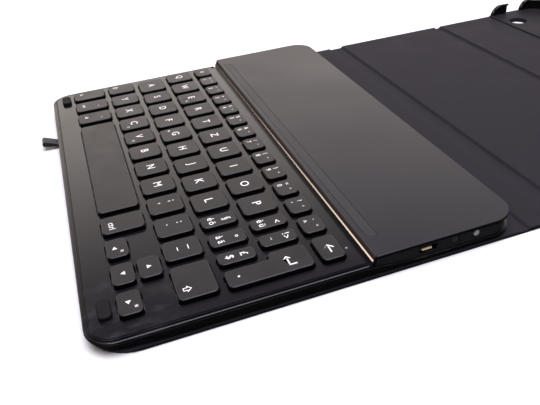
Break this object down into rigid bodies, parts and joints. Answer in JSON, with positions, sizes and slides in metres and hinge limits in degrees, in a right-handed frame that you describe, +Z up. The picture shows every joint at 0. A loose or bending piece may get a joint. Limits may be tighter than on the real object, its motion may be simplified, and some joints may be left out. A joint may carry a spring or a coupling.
{
  "type": "tablet keyboard case",
  "caption": "Thin keyboard tray with a fabric folio cover that folds into a stand and grips a tablet in corner clips.",
  "frame": {"origin": "centre of the keyboard tray's underside, on the table", "axes": "+X to the typist's right, +Y from the typist towards the cover's folds and the tablet holder, +Z up; drawn open and flat"},
  "size_m": [0.2456, 0.4056, 0.0108],
  "materials": {
    "cover_fabric": "matte",
    "shell_plastic": "gloss",
    "deck_plastic": "satin gloss",
    "soft_touch": "soft touch",
    "trim_plastic": "gloss",
    "magnet": "nickel plated",
    "plate_steel": "brushed",
    "dome_rubber": "matte",
    "circuit_laminate": "satin",
    "battery_foil": "satin",
    "socket_metal": "satin",
    "light_lens": "translucent",
    "bumper_rubber": "matte",
    "tab_fabric": "woven",
    "button_dark": "satin",
    "button_light": "satin",
    "stiffener": "matte",
    "holder_plastic": "gloss",
    "key_plastic": "satin"
  },
  "bodies": {
    "tray": {"base_cover": "cover_fabric", "bottom_shell": "shell_plastic", "deck_plate": "deck_plastic", "rear_cover": "soft_touch", "slot_trim": "trim_plastic", "magnet_cover": "soft_touch", "slot_magnets": "magnet", "support_plate": "plate_steel", "key_membrane": "dome_rubber", "circuit_board": "circuit_laminate", "battery": "battery_foil", "usb_socket": "socket_metal", "status_light": "light_lens", "front_bumpers": "bumper_rubber", "pull_tab": "tab_fabric"},
    "spine": {"spine_panel": "cover_fabric"},
    "lower_cover": {"lower_cover_skin": "cover_fabric", "lower_cover_board": "stiffener"},
    "upper_cover": {"upper_cover_skin": "cover_fabric", "upper_cover_board": "stiffener", "tablet_holder": "holder_plastic"},
    "connect_button_body": {"connect_button": "button_dark"},
    "power_button_body": {"power_button": "button_light"},
    "key_space_body": {"key_space": "key_plastic"},
    "key_shift_left_body": {"key_shift_left": "key_plastic"},
    "key_shift_right_body": {"key_shift_right": "key_plastic"},
    "key_return_body": {"key_return": "key_plastic"},
    "key_backspace_body": {"key_backspace": "key_plastic"},
    "key_arrow_left_body": {"key_arrow_left": "key_plastic"},
    "key_arrow_down_body": {"key_arrow_down": "key_plastic"},
    "key_arrow_up_body": {"key_arrow_up": "key_plastic"},
    "key_arrow_right_body": {"key_arrow_right": "key_plastic"},
    "key_q_body": {"key_q": "key_plastic"},
    "key_w_body": {"key_w": "key_plastic"},
    "key_e_body": {"key_e": "key_plastic"},
    "key_r_body": {"key_r": "key_plastic"},
    "key_t_body": {"key_t": "key_plastic"},
    "key_z_body": {"key_z": "key_plastic"},
    "key_u_body": {"key_u": "key_plastic"},
    "key_i_body": {"key_i": "key_plastic"},
    "key_o_body": {"key_o": "key_plastic"},
    "key_p_body": {"key_p": "key_plastic"},
    "key_a_body": {"key_a": "key_plastic"},
    "key_s_body": {"key_s": "key_plastic"},
    "key_d_body": {"key_d": "key_plastic"},
    "key_f_body": {"key_f": "key_plastic"},
    "key_g_body": {"key_g": "key_plastic"},
    "key_h_body": {"key_h": "key_plastic"},
    "key_j_body": {"key_j": "key_plastic"},
    "key_k_body": {"key_k": "key_plastic"},
    "key_l_body": {"key_l": "key_plastic"},
    "key_y_body": {"key_y": "key_plastic"},
    "key_x_body": {"key_x": "key_plastic"},
    "key_c_body": {"key_c": "key_plastic"},
    "key_v_body": {"key_v": "key_plastic"},
    "key_b_body": {"key_b": "key_plastic"},
    "key_n_body": {"key_n": "key_plastic"},
    "key_m_body": {"key_m": "key_plastic"},
    "number_row_keys_body": {"number_row_keys": "key_plastic"},
    "symbol_keys_body": {"symbol_keys": "key_plastic"}
  },
  "joints": [
    {"name": "spine_fold", "type": "hinge", "parent": "tray", "child": "spine", "pos_m": [0, 0.09525, 0.0004], "axis": [-1, 0, 0], "range_deg": [-90, 0]},
    {"name": "cover_fold", "type": "hinge", "parent": "spine", "child": "lower_cover", "pos_m": [0, 0.11825, 0.0004], "axis": [1, 0, 0], "range_deg": [0, 122]},
    {"name": "mid_fold", "type": "hinge", "parent": "lower_cover", "child": "upper_cover", "pos_m": [0, 0.20725, 0.0004], "axis": [-1, 0, 0], "range_deg": [0, 68]},
    {"name": "connect_press", "type": "slide", "parent": "tray", "child": "connect_button_body", "axis": [-1, 0, 0], "range_m": [0, 0.0005], "stiffness_N_per_m": 600, "springref_m": -0.001},
    {"name": "power_press", "type": "slide", "parent": "tray", "child": "power_button_body", "axis": [-1, 0, 0], "range_m": [0, 0.0005], "stiffness_N_per_m": 600, "springref_m": -0.001},
    {"name": "key_space_press", "type": "slide", "parent": "tray", "child": "key_space_body", "axis": [0, 0, -1], "range_m": [0, 0.0012], "stiffness_N_per_m": 250, "springref_m": -0.0012},
    {"name": "key_shift_left_press", "type": "slide", "parent": "tray", "child": "key_shift_left_body", "axis": [0, 0, -1], "range_m": [0, 0.0012], "stiffness_N_per_m": 250, "springref_m": -0.0012},
    {"name": "key_shift_right_press", "type": "slide", "parent": "tray", "child": "key_shift_right_body", "axis": [0, 0, -1], "range_m": [0, 0.0012], "stiffness_N_per_m": 250, "springref_m": -0.0012},
    {"name": "key_return_press", "type": "slide", "parent": "tray", "child": "key_return_body", "axis": [0, 0, -1], "range_m": [0, 0.0012], "stiffness_N_per_m": 250, "springref_m": -0.0012},
    {"name": "key_backspace_press", "type": "slide", "parent": "tray", "child": "key_backspace_body", "axis": [0, 0, -1], "range_m": [0, 0.0012], "stiffness_N_per_m": 250, "springref_m": -0.0012},
    {"name": "key_arrow_left_press", "type": "slide", "parent": "tray", "child": "key_arrow_left_body", "axis": [0, 0, -1], "range_m": [0, 0.0012], "stiffness_N_per_m": 250, "springref_m": -0.0012},
    {"name": "key_arrow_down_press", "type": "slide", "parent": "tray", "child": "key_arrow_down_body", "axis": [0, 0, -1], "range_m": [0, 0.0012], "stiffness_N_per_m": 250, "springref_m": -0.0012},
    {"name": "key_arrow_up_press", "type": "slide", "parent": "tray", "child": "key_arrow_up_body", "axis": [0, 0, -1], "range_m": [0, 0.0012], "stiffness_N_per_m": 250, "springref_m": -0.0012},
    {"name": "key_arrow_right_press", "type": "slide", "parent": "tray", "child": "key_arrow_right_body", "axis": [0, 0, -1], "range_m": [0, 0.0012], "stiffness_N_per_m": 250, "springref_m": -0.0012},
    {"name": "key_q_press", "type": "slide", "parent": "tray", "child": "key_q_body", "axis": [0, 0, -1], "range_m": [0, 0.0012], "stiffness_N_per_m": 250, "springref_m": -0.0012},
    {"name": "key_w_press", "type": "slide", "parent": "tray", "child": "key_w_body", "axis": [0, 0, -1], "range_m": [0, 0.0012], "stiffness_N_per_m": 250, "springref_m": -0.0012},
    {"name": "key_e_press", "type": "slide", "parent": "tray", "child": "key_e_body", "axis": [0, 0, -1], "range_m": [0, 0.0012], "stiffness_N_per_m": 250, "springref_m": -0.0012},
    {"name": "key_r_press", "type": "slide", "parent": "tray", "child": "key_r_body", "axis": [0, 0, -1], "range_m": [0, 0.0012], "stiffness_N_per_m": 250, "springref_m": -0.0012},
    {"name": "key_t_press", "type": "slide", "parent": "tray", "child": "key_t_body", "axis": [0, 0, -1], "range_m": [0, 0.0012], "stiffness_N_per_m": 250, "springref_m": -0.0012},
    {"name": "key_z_press", "type": "slide", "parent": "tray", "child": "key_z_body", "axis": [0, 0, -1], "range_m": [0, 0.0012], "stiffness_N_per_m": 250, "springref_m": -0.0012},
    {"name": "key_u_press", "type": "slide", "parent": "tray", "child": "key_u_body", "axis": [0, 0, -1], "range_m": [0, 0.0012], "stiffness_N_per_m": 250, "springref_m": -0.0012},
    {"name": "key_i_press", "type": "slide", "parent": "tray", "child": "key_i_body", "axis": [0, 0, -1], "range_m": [0, 0.0012], "stiffness_N_per_m": 250, "springref_m": -0.0012},
    {"name": "key_o_press", "type": "slide", "parent": "tray", "child": "key_o_body", "axis": [0, 0, -1], "range_m": [0, 0.0012], "stiffness_N_per_m": 250, "springref_m": -0.0012},
    {"name": "key_p_press", "type": "slide", "parent": "tray", "child": "key_p_body", "axis": [0, 0, -1], "range_m": [0, 0.0012], "stiffness_N_per_m": 250, "springref_m": -0.0012},
    {"name": "key_a_press", "type": "slide", "parent": "tray", "child": "key_a_body", "axis": [0, 0, -1], "range_m": [0, 0.0012], "stiffness_N_per_m": 250, "springref_m": -0.0012},
    {"name": "key_s_press", "type": "slide", "parent": "tray", "child": "key_s_body", "axis": [0, 0, -1], "range_m": [0, 0.0012], "stiffness_N_per_m": 250, "springref_m": -0.0012},
    {"name": "key_d_press", "type": "slide", "parent": "tray", "child": "key_d_body", "axis": [0, 0, -1], "range_m": [0, 0.0012], "stiffness_N_per_m": 250, "springref_m": -0.0012},
    {"name": "key_f_press", "type": "slide", "parent": "tray", "child": "key_f_body", "axis": [0, 0, -1], "range_m": [0, 0.0012], "stiffness_N_per_m": 250, "springref_m": -0.0012},
    {"name": "key_g_press", "type": "slide", "parent": "tray", "child": "key_g_body", "axis": [0, 0, -1], "range_m": [0, 0.0012], "stiffness_N_per_m": 250, "springref_m": -0.0012},
    {"name": "key_h_press", "type": "slide", "parent": "tray", "child": "key_h_body", "axis": [0, 0, -1], "range_m": [0, 0.0012], "stiffness_N_per_m": 250, "springref_m": -0.0012},
    {"name": "key_j_press", "type": "slide", "parent": "tray", "child": "key_j_body", "axis": [0, 0, -1], "range_m": [0, 0.0012], "stiffness_N_per_m": 250, "springref_m": -0.0012},
    {"name": "key_k_press", "type": "slide", "parent": "tray", "child": "key_k_body", "axis": [0, 0, -1], "range_m": [0, 0.0012], "stiffness_N_per_m": 250, "springref_m": -0.0012},
    {"name": "key_l_press", "type": "slide", "parent": "tray", "child": "key_l_body", "axis": [0, 0, -1], "range_m": [0, 0.0012], "stiffness_N_per_m": 250, "springref_m": -0.0012},
    {"name": "key_y_press", "type": "slide", "parent": "tray", "child": "key_y_body", "axis": [0, 0, -1], "range_m": [0, 0.0012], "stiffness_N_per_m": 250, "springref_m": -0.0012},
    {"name": "key_x_press", "type": "slide", "parent": "tray", "child": "key_x_body", "axis": [0, 0, -1], "range_m": [0, 0.0012], "stiffness_N_per_m": 250, "springref_m": -0.0012},
    {"name": "key_c_press", "type": "slide", "parent": "tray", "child": "key_c_body", "axis": [0, 0, -1], "range_m": [0, 0.0012], "stiffness_N_per_m": 250, "springref_m": -0.0012},
    {"name": "key_v_press", "type": "slide", "parent": "tray", "child": "key_v_body", "axis": [0, 0, -1], "range_m": [0, 0.0012], "stiffness_N_per_m": 250, "springref_m": -0.0012},
    {"name": "key_b_press", "type": "slide", "parent": "tray", "child": "key_b_body", "axis": [0, 0, -1], "range_m": [0, 0.0012], "stiffness_N_per_m": 250, "springref_m": -0.0012},
    {"name": "key_n_press", "type": "slide", "parent": "tray", "child": "key_n_body", "axis": [0, 0, -1], "range_m": [0, 0.0012], "stiffness_N_per_m": 250, "springref_m": -0.0012},
    {"name": "key_m_press", "type": "slide", "parent": "tray", "child": "key_m_body", "axis": [0, 0, -1], "range_m": [0, 0.0012], "stiffness_N_per_m": 250, "springref_m": -0.0012},
    {"name": "number_row_keys_press", "type": "slide", "parent": "tray", "child": "number_row_keys_body", "axis": [0, 0, -1], "range_m": [0, 0.0012], "stiffness_N_per_m": 3250, "springref_m": -0.0012},
    {"name": "symbol_keys_press", "type": "slide", "parent": "tray", "child": "symbol_keys_body", "axis": [0, 0, -1], "range_m": [0, 0.0012], "stiffness_N_per_m": 3000, "springref_m": -0.0012}
  ]
}
